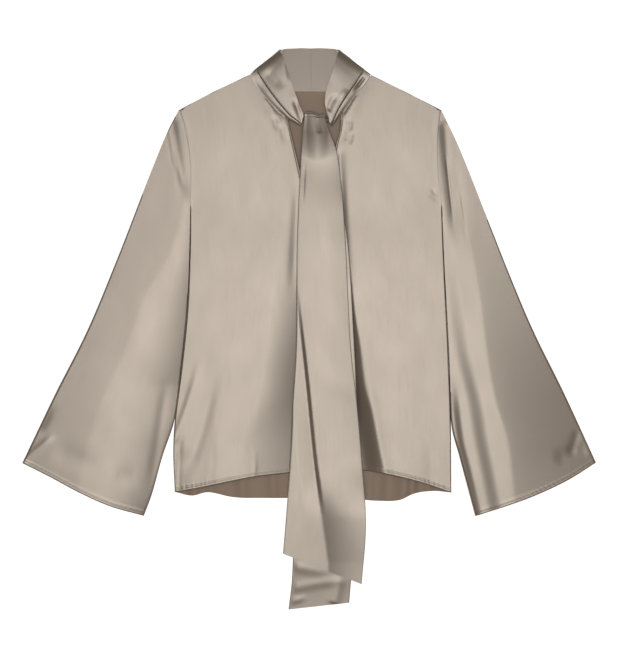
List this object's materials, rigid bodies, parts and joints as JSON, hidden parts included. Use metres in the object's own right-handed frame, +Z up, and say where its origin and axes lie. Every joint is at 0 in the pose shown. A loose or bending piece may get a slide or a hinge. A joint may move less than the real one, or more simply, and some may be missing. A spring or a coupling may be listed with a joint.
{
  "type": "blouse with a scarf collar, laid flat",
  "caption": "Satin pull-on blouse with wide bell sleeves, a slit neck and a scarf collar tied in one loop, laid flat on its back.",
  "frame": {"origin": "on the surface that the blouse lies on, under the middle of its outline", "axes": "+X towards the wearer's left sleeve, +Y from the hem to the collar, +Z up from the surface through the front"},
  "size_m": [0.9386, 0.9165, 0.0255],
  "materials": {
    "satin": "satin",
    "satin_reverse": "matte"
  },
  "bodies": {
    "root": {"back_panel": "satin_reverse", "front_panel": "satin", "sleeve_right": "satin", "sleeve_left": "satin", "collar_right": "satin", "collar_left": "satin", "scarf_strand": "satin", "tail_back": "satin", "tail_front": "satin"}
  },
  "joints": []
}
